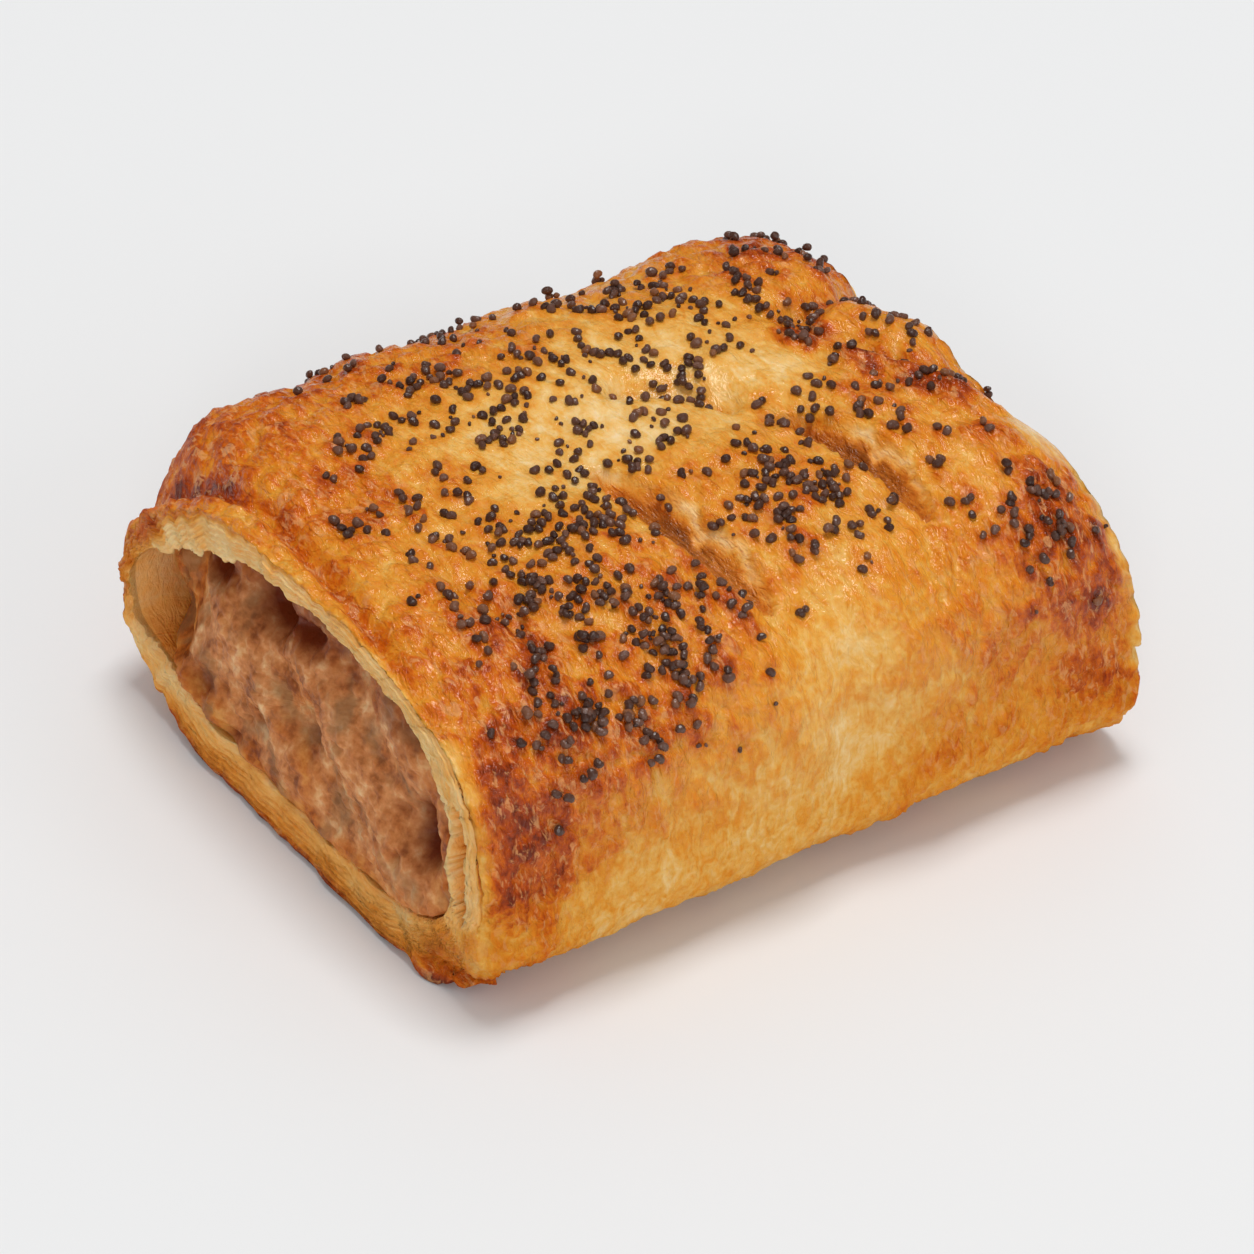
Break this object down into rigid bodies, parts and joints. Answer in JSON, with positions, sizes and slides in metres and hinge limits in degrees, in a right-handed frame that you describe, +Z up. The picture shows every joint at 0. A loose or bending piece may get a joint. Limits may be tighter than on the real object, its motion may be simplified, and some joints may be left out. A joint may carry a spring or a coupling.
{
  "type": "sausage roll",
  "caption": "Short cut length of baked puff pastry wrapped round coarse sausage meat, slashed and seeded on top, flat underneath, open to the meat at both ends",
  "frame": {"origin": "on the surface it rests on, under the middle of its bounding box", "axes": "X runs along the roll from the near cut end (-X) to the far cut end (+X), -Y is the front side that the slashes come down towards, Z is up"},
  "size_m": [0.0808, 0.074, 0.0367],
  "materials": {
    "pastry": "baked puff pastry with an egg glaze, gold to dark brown, satin",
    "filling": "cooked coarse sausage meat, pinkish brown, slightly moist",
    "seeds": "toasted poppy seeds, dark purple brown, matt"
  },
  "bodies": {
    "root": {"pastry": "pastry", "filling": "filling"}
  },
  "joints": []
}
